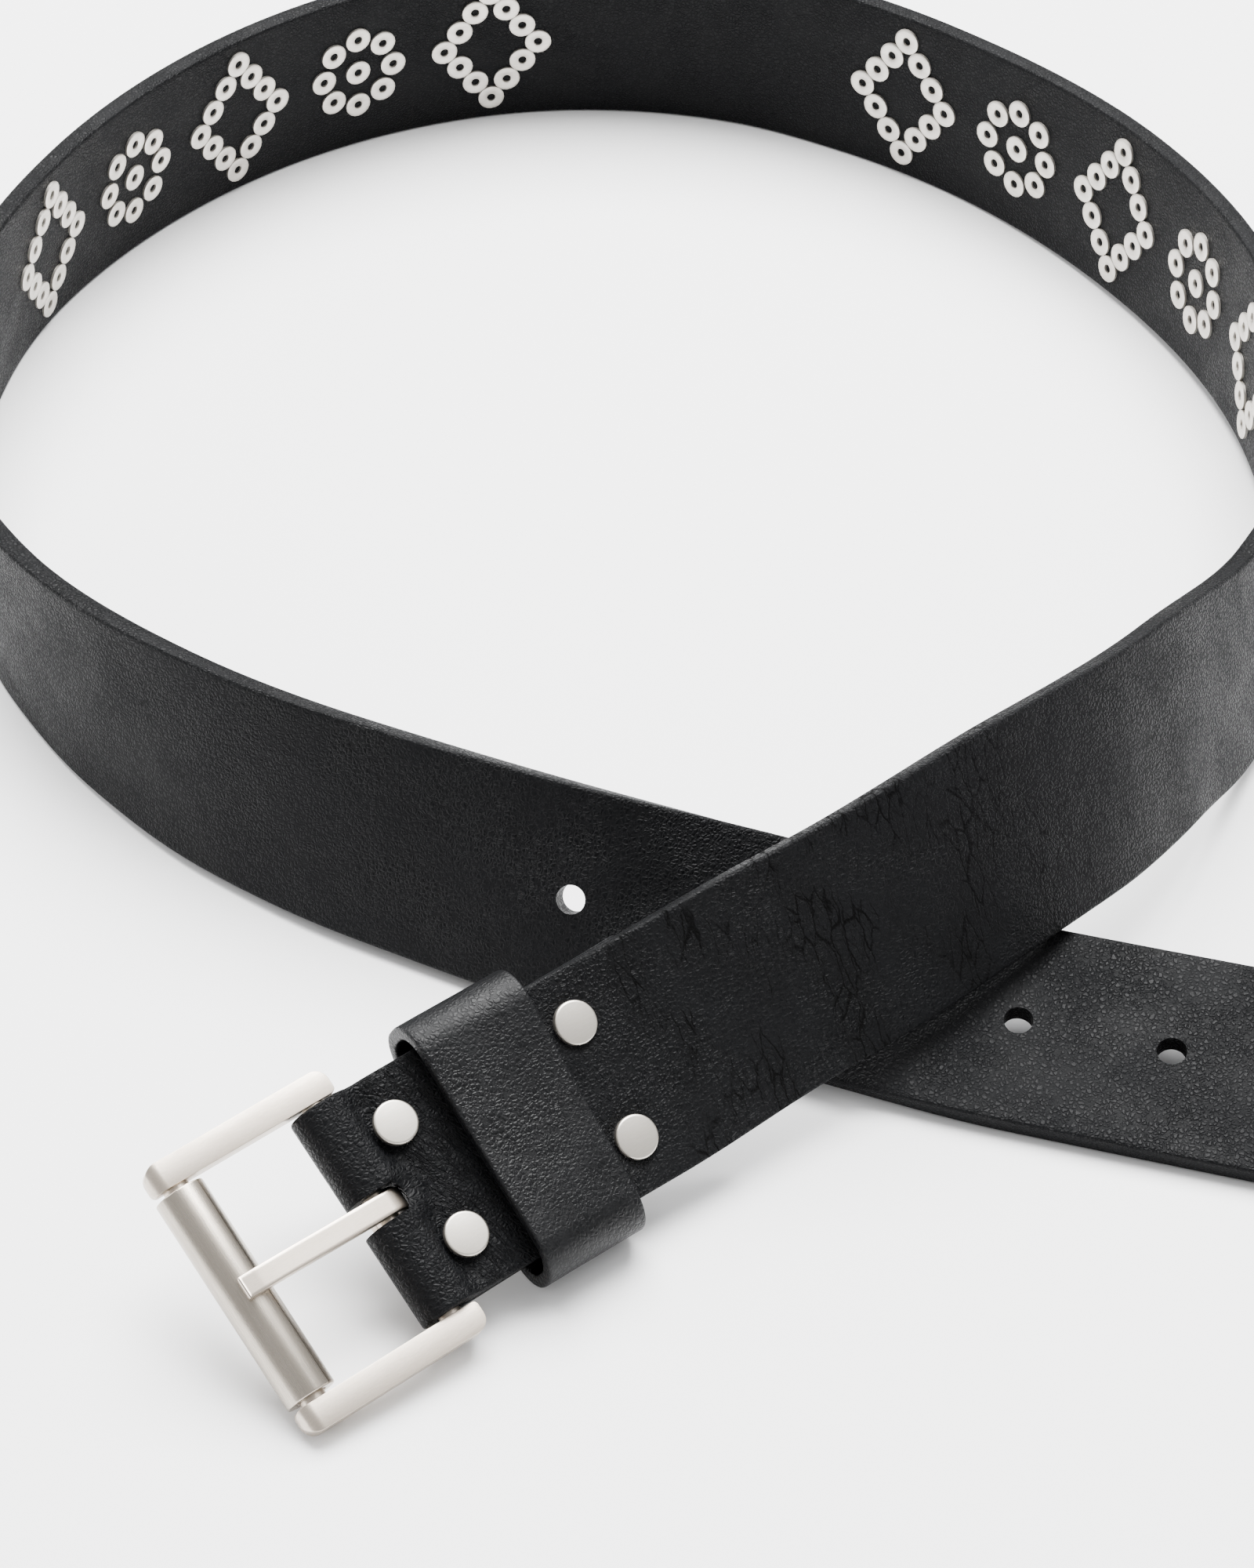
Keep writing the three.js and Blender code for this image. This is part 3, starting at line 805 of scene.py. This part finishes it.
@dataclass
class Sheet:
    """A flat strip that is bent into its place afterwards."""

    name: str
    low: float
    high: float
    width: float
    thickness: float
    along_cells: int
    across_cells: int
    edge_round: float = 0.5

    def build(self) -> Piece:
        """Return the strip, lying flat with its outer face up and its edges rounded."""
        Bench.clear()
        bpy.ops.mesh.primitive_grid_add(
            x_subdivisions=self.along_cells,
            y_subdivisions=self.across_cells,
            size=1,
            location=((self.low + self.high) / 2 * MM, 0, 0),
        )
        piece = bpy.context.object
        piece.name = self.name
        Bench.fix(piece, ((self.high - self.low) * MM, self.width * MM, 1))
        Bench.modify(piece, "SOLIDIFY", thickness=self.thickness * MM, offset=0)
        return Bench.soften(piece, self.edge_round, 2, 60)

    def sort_faces(self, piece: Piece) -> None:
        """Give each face the slot of the outer face, the inner face or the cut edge."""
        indices = []
        for polygon in piece.data.polygons:
            up = polygon.normal.z
            indices.append(0 if up > 0.9 else 1 if up < -0.9 else 2)
        piece.data.polygons.foreach_set("material_index", indices)


@dataclass
class Strap:
    """The long strap: its tail with holes, and the fold round the buckle's bar."""

    route: StrapRoute
    tip_length: float = 24.0
    tip_width: float = 12.0
    fold_thickness: float = 2.4
    fold_clearance: float = 0.35
    layer_gap: float = 0.3
    pinch_length: float = 5.4
    return_length: float = 57.0
    bar_drop: float = 1.6
    bar_radius: float = 1.9
    slot_reach: float = 4.9
    slot_width: float = 5.2
    hole_radius: float = 2.5
    hole_pitch: float = 25.7
    hole_count: int = 5
    last_hole: float = 88.0
    rivets: tuple[tuple[float, float], ...] = (
        (8.4, 10.25),
        (8.4, -10.25),
        (41.9, 10.25),
        (41.9, -10.25),
    )
    punch_depth: float = 12.0
    crest_height: float = 0.85
    valley_depth: float = 1.25
    rim_height: float = 0.75
    rivet_dent: float = 0.34
    wave_height: float = 0.13
    left_wave_height: float = 0.16
    lip_pull: float = 1.3

    @property
    def fold_radius(self) -> float:
        """Return the radius of the fold at the middle of its leather."""
        return self.bar_radius + self.fold_clearance + self.fold_thickness / 2

    @property
    def arc(self) -> float:
        """Return the length of the half turn round the bar."""
        return math.pi * self.fold_radius

    def cutters(self) -> list[Piece]:
        """Return the tools that punch the tail's holes and the prong's slot."""
        tools = []
        for k in range(self.hole_count):
            place = self.route.length - self.last_hole - k * self.hole_pitch
            tools.append(Bench.rod(f"punch_{k}", self.hole_radius, self.punch_depth, (place, 0, 0), 40))
        start = -self.arc - self.slot_reach
        half = self.slot_width / 2
        deep = self.punch_depth / 2
        slot = Bench.box("slot_punch", (start, -half, -deep), (self.slot_reach, half, deep))
        Bench.bevel_edges(slot, lambda middle, way: abs(way.z) > 0.9, half * 0.98, 8)
        tools.append(slot)
        return tools

    def relief(self, length: np.ndarray, across: np.ndarray) -> np.ndarray:
        """Return how far the outer face stands above its plain shape, in millimetres.

        Args:
            length: Distances from the bar.
            across: Distances from the middle line.

        Returns:
            The height at each point, below zero in a dent.
        """
        edge = smooth((self.route.width / 2 - np.abs(across)) / 4.0)
        crest = self.crest_height * bump_shape(length, 2.6, 1.8) * smooth(np.abs(across) / 5.0)
        sway = 5.6 + 2.6 * bump_shape(across, 0.0, 4.6) - 0.4 * bump_shape(np.abs(across), 10.3, 4.0)
        valley = -self.valley_depth * bump_shape(length, sway, 1.7) * (0.35 + 0.65 * edge)
        rim = self.rim_height * bump_shape(np.hypot(length - 3.2, across), 3.3, 1.0)
        height = crest + valley + rim
        for place, side in self.rivets:
            reach = np.hypot(length - place, across - side)
            height = height - self.rivet_dent * bump_shape(reach, 3.5, 1.2)
        near = np.sin(length / 5.1 + across / 9.0) * np.sin(length / 13.0 - across / 6.0)
        near = near * smooth((length - 12) / 10) * smooth((230 - length) / 60)
        left = np.sin(length / 7.3 - across / 7.0) * np.sin(length / 17.0 + across / 11.0)
        left = left * smooth((length - 690) / 50) * smooth((960 - length) / 60)
        return height + self.wave_height * near + self.left_wave_height * left

    def bend(self, points: np.ndarray) -> np.ndarray:
        """Bend the flat strap round the bar and along its route.

        Args:
            points: Flat points: along, across and above the middle of the leather.

        Returns:
            The same points in their places.
        """
        along, side, above = points.T.copy()
        lip = smooth((4.2 - np.abs(side)) / 1.4) * smooth((7.5 - along) / 3.0)
        lip = lip * smooth((along - 2.2) / 1.6)
        upper = np.clip(0.5 + above / self.route.thickness, 0, 1) * (along > 0)
        along = along - self.lip_pull * lip * upper
        past = np.clip((along - (self.route.length - self.tip_length)) / self.tip_length, 0, 1)
        full = self.route.width
        side = side * (self.tip_width + (full - self.tip_width) * np.sqrt(1 - past**2 * 0.9999)) / full
        turned = -along - self.arc
        length = np.where(along >= 0, along, np.where(turned > 0, turned, 0.0))
        closing = smooth(length / self.pinch_length)
        thick = self.fold_thickness + (self.route.thickness - self.fold_thickness) * closing
        back = turned > 0
        round_bar = (along < 0) & ~back
        open_main = self.fold_radius - self.bar_drop
        share = above / self.route.thickness
        out = open_main * (1 - closing) + share * thick
        out = out + np.where(share > 0.2, self.relief(length, side), 0.0) * smooth(length / 1.5)
        flat_back = -self.route.thickness / 2 - self.layer_gap - self.fold_thickness / 2
        open_back = -self.bar_drop - self.fold_radius
        back_out = flat_back * closing + open_back * (1 - closing) - share * self.fold_thickness
        out = np.where(back, back_out, out)
        middle, forward, across, outward = self.route.frames(length)
        placed = middle + across * side[:, None] + outward * out[:, None]
        angle = np.clip(-along / self.fold_radius, 0, math.pi)
        facing = outward * np.cos(angle)[:, None] - forward * np.sin(angle)[:, None]
        radius = self.fold_radius + share * self.fold_thickness
        bar = middle - outward * self.bar_drop + across * side[:, None]
        rounded = bar + facing * radius[:, None]
        return np.where(round_bar[:, None], rounded, placed)

    def build(self, finishes: Finishes) -> Piece:
        """Return the finished strap."""
        low = -self.arc - self.return_length
        sheet = Sheet(
            "strap_leather", low, self.route.length, self.route.width, self.route.thickness, 900, 32
        )
        piece = sheet.build()
        Bench.cut(piece, self.cutters())
        sheet.sort_faces(piece)
        Bench.note_flat(piece)
        Bench.move_points(piece, self.bend(Bench.points(piece)))
        Body.dress(piece, finishes.outer, finishes.inner, finishes.edge)
        Bench.polish(piece, 50)
        Body.seat(piece, "belt", "leather", ("strap",))
        return piece


@dataclass
class Studs:
    """The studs through the strap: a low head outside and a flat ring inside."""

    route: StrapRoute
    radius: float = 2.85
    ring_height: float = 0.5
    foot: float = 0.4
    sides: int = 20
    hole_radius: float = 0.95
    middle: float = 0.430
    plain: float = 96.0
    pitch: float = 31.0
    per_group: int = 5
    diamond_height: float = 13.6
    diamond_length: float = 10.6
    diamond_side: int = 3
    rosette_radius: float = 8.4
    rosette_count: int = 8

    def diamond(self, centre: float) -> list[tuple[float, float]]:
        """Return the studs of a diamond outline, as lengths and heights."""
        corners = ((0, 1), (1, 0), (0, -1), (-1, 0))
        places = []
        for i, (x, y) in enumerate(corners):
            next_x, next_y = corners[(i + 1) % 4]
            for k in range(self.diamond_side):
                share = k / self.diamond_side
                places.append((
                    centre + self.diamond_length * (x + (next_x - x) * share),
                    self.diamond_height * (y + (next_y - y) * share),
                ))
        return places

    def rosette(self, centre: float) -> list[tuple[float, float]]:
        """Return the studs of a ring about a middle stud, as lengths and heights."""
        places = [(centre, 0.0)]
        for k in range(self.rosette_count):
            angle = 2 * math.pi * k / self.rosette_count
            over = self.rosette_radius * math.sin(angle)
            places.append((centre + over, self.rosette_radius * math.cos(angle)))
        return places

    def places(self) -> list[tuple[float, float]]:
        """Return the place of every stud."""
        places = []
        for side in (-1, 1):
            for k in range(self.per_group):
                centre = self.middle * self.route.length + side * (self.plain / 2 + k * self.pitch)
                places.extend(self.diamond(centre) if k % 2 == 0 else self.rosette(centre))
        return places

    def ring(self) -> Piece:
        """Return one stud's inner ring, with its face up and its foot below the leather."""
        high, low = self.ring_height, -self.foot
        piece = Bench.rod("ring_pattern", self.radius, high - low, (0, 0, (high + low) / 2), self.sides)
        rim = 0.22
        slope = 0.30
        face = self.radius - 2 * rim - slope - self.hole_radius
        steps = ((rim, 0.12), (rim, 0.03), (face, -0.02), (slope, -0.20), (0.06, -0.6))
        return Bench.step_top(piece, steps)

    def head(self) -> Piece:
        """Return one stud's outer head, a low dome with its foot below the leather."""
        piece = Bench.rod("head_pattern", self.radius, 2 * self.foot, sides=self.sides)
        return Bench.step_top(piece, ((0.35, 0.25), (0.75, 0.18), (0.9, 0.07)))

    def copies(self, pattern: Piece, name: str, out: float, inside: bool) -> Piece:
        """Copy a pattern to every stud's place and join the copies.

        Args:
            pattern: The piece to copy, which is removed.
            name: The joined piece's name.
            out: How far its own zero stands out of the strap's middle.
            inside: Whether it faces into the loop.

        Returns:
            The joined piece.
        """
        shape = Bench.points(pattern)
        faces = [list(polygon.vertices) for polygon in pattern.data.polygons]
        places = np.array(self.places())
        middle, forward, across, outward = self.route.frames(places[:, 0])
        facing = -outward if inside else outward
        side = np.cross(facing, forward)
        origin = middle + across * places[:, 1][:, None] + outward * out
        points = (
            origin[:, None, :]
            + forward[:, None, :] * shape[None, :, :1]
            + side[:, None, :] * shape[None, :, 1:2]
            + facing[:, None, :] * shape[None, :, 2:]
        )
        count = len(shape)
        turned = np.tile(shape, (len(places), 1)) + np.repeat(places @ np.eye(2, 3), count, axis=0)
        every = [[v + i * count for v in face] for i in range(len(places)) for face in faces]
        mesh = bpy.data.meshes.new(name)
        mesh.from_pydata((points.reshape(-1, 3) * MM).tolist(), [], every)
        piece = bpy.data.objects.new(name, mesh)
        bpy.context.scene.collection.objects.link(piece)
        bpy.data.objects.remove(pattern, do_unlink=True)
        layout = mesh.attributes.new(FLAT, "FLOAT_VECTOR", "POINT")
        layout.data.foreach_set("vector", (turned / 10).ravel())
        return Bench.polish(piece, 40)

    def build(self, finishes: Finishes) -> None:
        """Make the rings and the heads."""
        half = self.route.thickness / 2
        for name, pattern, out, inside in (
            ("stud_rings", self.ring(), -half, True),
            ("stud_heads", self.head(), half, False),
        ):
            piece = self.copies(pattern, name, out, inside)
            Body.dress(piece, finishes.rings)
            Body.seat(piece, "belt", Metal.CAP.value)


@dataclass
class Rivets:
    """The four rivets that close the fold."""

    route: StrapRoute
    strap: Strap
    cap_radius: float = 3.65
    cap_thickness: float = 0.8
    cap_foot: float = 0.6
    shank_radius: float = 1.6
    washer_thickness: float = 1.0

    def build(self, finishes: Finishes) -> None:
        """Make each rivet with its cap, its shank and its washer."""
        half = self.route.thickness / 2
        back = -half - self.strap.layer_gap - self.strap.fold_thickness
        for i, (length, side) in enumerate(self.strap.rivets):
            top = half + self.cap_thickness
            low = half - self.cap_foot
            cap = Bench.rod("cap", self.cap_radius, top - low, (0, 0, (top + low) / 2), 56)
            Bench.soften(cap, 0.42, 4)
            shank = Bench.rod("shank", self.shank_radius, half - back, (0, 0, (half + back) / 2), 24)
            under = (0, 0, back - self.washer_thickness / 2)
            washer = Bench.rod("washer", self.cap_radius, self.washer_thickness, under, 40)
            Bench.soften(washer, 0.3, 3)
            piece = Bench.join(f"rivet_{i + 1}_dressed", [cap, shank, washer])
            Bench.note_flat(piece)
            upright = Matrix.Rotation(math.radians(-90), 4, "X")
            piece.data.transform(self.route.matrix(length, side) @ upright)
            Body.dress(piece, finishes.caps)
            Bench.polish(piece, 40)
            Body.seat(piece, "belt", Metal.CAP.value, (f"rivet_{i + 1}",))


@dataclass
class Keeper:
    """The flat leather loop round the buckle end."""

    route: StrapRoute
    strap: Strap
    width: float = 19.5
    thickness: float = 2.2
    middle: float = 26.0
    front_gap: float = 2.7
    side_play: float = 2.2
    back_gap: float = 0.3
    back_corner: float = 5.6
    front_corner: float = 6.4
    corner_steps: int = 12
    sag: float = 0.35

    def outline(self) -> Line:
        """Return the loop's middle line, seen along the strap: x across it and y out of it."""
        half = self.route.width / 2 + self.side_play + self.thickness / 2
        low = -self.route.thickness / 2 - self.strap.layer_gap - self.strap.fold_thickness
        low -= self.back_gap + self.thickness / 2
        high = self.route.thickness / 2 + self.front_gap + self.thickness / 2
        back = self.back_corner - self.thickness / 2
        front = self.front_corner - self.thickness / 2
        path = [(0.0, low)]
        for across, out, radius, quarter in (
            (half - back, low + back, back, 3),
            (half - front, high - front, front, 0),
            (-half + front, high - front, front, 1),
            (-half + back, low + back, back, 2),
        ):
            for k in range(self.corner_steps + 1):
                angle = (quarter + k / self.corner_steps) * math.pi / 2
                path.append((across + radius * math.cos(angle), out + radius * math.sin(angle)))
        path.append((0.0, low))
        return Line(path)

    def bend(self, points: np.ndarray) -> np.ndarray:
        """Bend the flat keeper round the strap."""
        along, side, above = points.T
        across, out = self.outline().follow(along, -above, 0.4)
        sag = self.sag * bump_shape(across, 3.0, 12.0) * (out > 0)
        middle, _, across_way, outward = self.route.frames(self.middle + side)
        return middle + across_way * across[:, None] + outward * (out - sag)[:, None]

    def build(self, finishes: Finishes) -> None:
        """Make the keeper."""
        total = self.outline().length
        sheet = Sheet(
            "keeper_leather", 0.0, total, self.width, self.thickness, 220, 24, edge_round=0.4
        )
        piece = sheet.build()
        sheet.sort_faces(piece)
        Bench.note_flat(piece)
        Bench.move_points(piece, self.bend(Bench.points(piece)))
        Body.dress(piece, finishes.keeper, finishes.inner, finishes.edge)
        Bench.polish(piece, 50)
        Body.seat(piece, "belt", "keeper_leather", ("keeper",))


@dataclass
class Buckle:
    """The buckle's frame, roller and prong, in a frame with x towards the roller."""

    route: StrapRoute
    bar_drop: float = 1.6
    bar_radius: float = 1.9
    reach: float = 25.4
    arm_width: float = 4.6
    arm_thickness: float = 3.4
    arm_rise: float = 2.3
    side_gap: float = 0.6
    bar_end: float = 4.0
    roller_end: float = 4.1
    end_drop: float = 2.9
    nose_length: float = 2.6
    outer_corner: float = 2.3
    inner_corner: float = 0.9
    roller_radius: float = 4.2
    roller_bar: float = 2.2
    roller_gap: float = 0.3
    roller_play: float = 0.9
    roller_drop: float = 0.6
    seam_angle: float = 128.0
    seam_depth: float = 0.35
    seam_half: float = 0.06
    prong_width: float = 3.8
    prong_thickness: float = 1.9
    prong_gap: float = 0.3
    seat_gap: float = 0.2
    past_roller: float = 1.4
    bend_to_roller: float = 1.6
    tip_drop: float = 0.25

    @property
    def matrix(self) -> Matrix:
        """Return the buckle's own frame."""
        return self.route.matrix(0.0, 0.0, -self.bar_drop)

    @property
    def inner(self) -> float:
        """Return the distance from the middle to an arm."""
        return self.route.width / 2 + self.side_gap

    def arm(self, side: int) -> Piece:
        """Return one arm: a flat bar with its outer corners round and its far end rolled over."""
        near, far = -self.bar_end, self.reach + self.roller_end
        inner, outer = side * self.inner, side * (self.inner + self.arm_width)
        foot = self.arm_rise - self.arm_thickness
        low, high = sorted((inner, outer))
        piece = Bench.box("arm", (near, foot, low), (far, self.arm_rise, high))
        for place, reach in ((outer, self.outer_corner), (inner, self.inner_corner)):

            def upright(middle: Vector, way: Vector, place: float = place) -> bool:
                return abs(way.y) > 0.9 and abs(middle.z - place) < 0.01

            Bench.bevel_edges(piece, upright, reach, 7)
        for place in np.linspace(far - self.nose_length, far - 0.15, 10):
            Bench.take(piece)
            bpy.ops.object.mode_set(mode="EDIT")
            bpy.ops.mesh.select_all(action="SELECT")
            bpy.ops.mesh.bisect(plane_co=(place * MM, 0, 0), plane_no=(1, 0, 0))
            bpy.ops.object.mode_set(mode="OBJECT")
        points = Bench.points(piece)
        roll = np.clip((points[:, 0] - far + self.nose_length) / self.nose_length, 0, 1)
        height = (points[:, 1] - foot) / self.arm_thickness
        points[:, 1] -= self.end_drop * (1 - np.sqrt(1 - 0.96 * roll**2)) * height
        Bench.move_points(piece, points)
        return Bench.soften(piece, 0.40, 3, 30)

    def frame_piece(self, finishes: Finishes) -> None:
        """Make the frame: two arms and two bars."""
        span = 2 * self.inner + self.arm_width
        fold_bar = Bench.rod("fold_bar", self.bar_radius, span, (0, 0, 0), 40)
        axis = (self.reach, -self.roller_drop, 0)
        roller_bar = Bench.rod("roller_bar", self.roller_bar, span, axis, 40)
        parts = [self.arm(1), self.arm(-1), fold_bar, roller_bar]
        piece = Bench.join("buckle_frame_dressed", parts)
        Bench.note_flat(piece)
        piece.data.transform(self.matrix)
        Body.dress(piece, finishes.buckle)
        Bench.polish(piece, 40)
        Body.seat(piece, "frame", Metal.BUCKLE.value, ("buckle_frame",))

    def roller_piece(self, finishes: Finishes) -> None:
        """Make the roller: a rolled tube with a fine seam along it."""
        length = 2 * (self.inner - self.roller_play)
        piece = Bench.rod("roller_dressed", self.roller_radius, length, (0, 0, 0), 96, open_ends=True)
        wall = self.roller_radius - self.roller_bar - self.roller_gap
        Bench.modify(piece, "SOLIDIFY", thickness=wall * MM, offset=-1)
        Bench.soften(piece, 0.28, 3)
        low = (self.roller_radius - self.seam_depth, -self.seam_half, -length)
        seam = Bench.box("seam_cut", low, (self.roller_radius + 1, self.seam_half, length))
        seam.data.transform(Matrix.Rotation(math.radians(self.seam_angle), 4, "Z"))
        Bench.cut(piece, [seam])
        Bench.note_flat(piece)
        piece.data.transform(Matrix.Translation((self.reach * MM, -self.roller_drop * MM, 0)))
        piece.data.transform(self.matrix)
        Body.dress(piece, finishes.roller)
        Bench.polish(piece, 30)
        Body.seat(piece, "roller", Metal.BUCKLE.value, ("roller",))

    def prong_line(self) -> Line:
        """Return the prong's middle line, seen from its side."""
        half = self.prong_thickness / 2
        eye = self.bar_radius + self.prong_gap + half
        top = self.roller_radius - self.roller_drop + self.seat_gap + half
        turns = np.linspace(math.radians(-60), math.radians(-265), 40)
        path = [(eye * math.cos(turn), eye * math.sin(turn)) for turn in turns]
        bend = self.reach - self.bend_to_roller
        for share in np.linspace(0.08, 1.0, 30):
            path.append((bend * share, eye + (top - eye) * smooth(share)))
        path.append((self.reach + self.past_roller, top - self.tip_drop))
        return Line(path)

    def prong_piece(self, finishes: Finishes) -> None:
        """Make the prong: a flat bar that is bent round the bar."""
        line = self.prong_line()
        sheet = Sheet(
            "prong_dressed", 0.0, line.length, self.prong_width, self.prong_thickness, 120, 6, 0.36
        )
        piece = sheet.build()
        Bench.note_flat(piece)
        along, side, above = Bench.points(piece).T
        x, y = line.follow(along, above, 0.25)
        Bench.move_points(piece, np.stack([x, y, -side], 1))
        piece.data.transform(self.matrix)
        Body.dress(piece, finishes.buckle)
        Bench.polish(piece, 40)
        Body.seat(piece, "prong", Metal.BUCKLE.value, ("prong",))

    def build(self, finishes: Finishes) -> None:
        """Make the buckle's pieces."""
        self.frame_piece(finishes)
        self.roller_piece(finishes)
        self.prong_piece(finishes)


@dataclass(frozen=True)
class Softbox:
    """A soft square light that faces the belt."""

    name: str
    place: Corner
    size: float
    power: float

    def hang(self) -> None:
        """Put the light in its place."""
        data = bpy.data.lights.new(self.name, "AREA")
        data.shape = "SQUARE"
        data.size = self.size
        data.energy = self.power
        lamp = bpy.data.objects.new(self.name, data)
        lamp.location = self.place
        lamp.rotation_euler = (AIM - lamp.location).to_track_quat("-Z", "Y").to_euler()
        bpy.context.scene.collection.objects.link(lamp)


@dataclass
class Studio:
    """The floor, the lights and the camera."""

    eye: Corner = (-0.022535, -0.595730, 0.484930)
    elevation: float = 0.7159
    lens: float = 94.81
    floor_size: float = 1.5
    floor_drop: float = 0.0002
    floor_color: Corner = (0.90, 0.90, 0.905)
    sky: float = 0.8
    lights: tuple[Softbox, ...] = (
        Softbox("back_box", (0.0, 0.95, 2.1), 2.0, 325.0),
        Softbox("top_box", (1.0, -0.05, 2.1), 1.5, 20.0),
        Softbox("left_box", (-1.9, 0.5, 0.9), 0.9, 22.0),
    )

    def floor(self) -> None:
        """Lay a wide pale floor."""
        Bench.clear()
        bpy.ops.mesh.primitive_plane_add(size=self.floor_size, location=(0, 0, -self.floor_drop))
        piece = bpy.context.object
        piece.name = "floor"
        nodes = Nodes("floor_paint")
        tone = nodes.noise(nodes.place(), 3.0, 2.0)
        low = tuple(value * 0.99 for value in self.floor_color)
        color = nodes.blend(tone, (*low, 1), (*self.floor_color, 1))
        Body.dress(piece, nodes.finish(color=color, rough=0.8, specular=0.2))

    def build(self) -> None:
        """Set the stage."""
        self.floor()
        for light in self.lights:
            light.hang()
        world = bpy.data.worlds.new("studio")
        world.use_nodes = True
        background = world.node_tree.nodes["Background"]
        background.inputs["Color"].default_value = (1, 1, 1, 1)
        background.inputs["Strength"].default_value = self.sky
        bpy.context.scene.world = world
        data = bpy.data.cameras.new("camera")
        data.lens = self.lens
        data.sensor_width = 36
        data.clip_start = 0.01
        camera = bpy.data.objects.new("camera", data)
        camera.location = self.eye
        camera.rotation_euler = (math.pi / 2 - self.elevation, 0, 0)
        bpy.context.scene.collection.objects.link(camera)
        bpy.context.scene.camera = camera


def main() -> None:
    """Build the belt and its stage."""
    logging.basicConfig(level=logging.INFO, format="%(name)s %(message)s")
    route = StrapRoute()
    finishes = Finishes()
    Studio().build()
    strap = Strap(route)
    strap.build(finishes)
    Studs(route).build(finishes)
    Rivets(route, strap).build(finishes)
    Keeper(route, strap).build(finishes)
    Buckle(route).build(finishes)


if __name__ == "__main__":
    main()
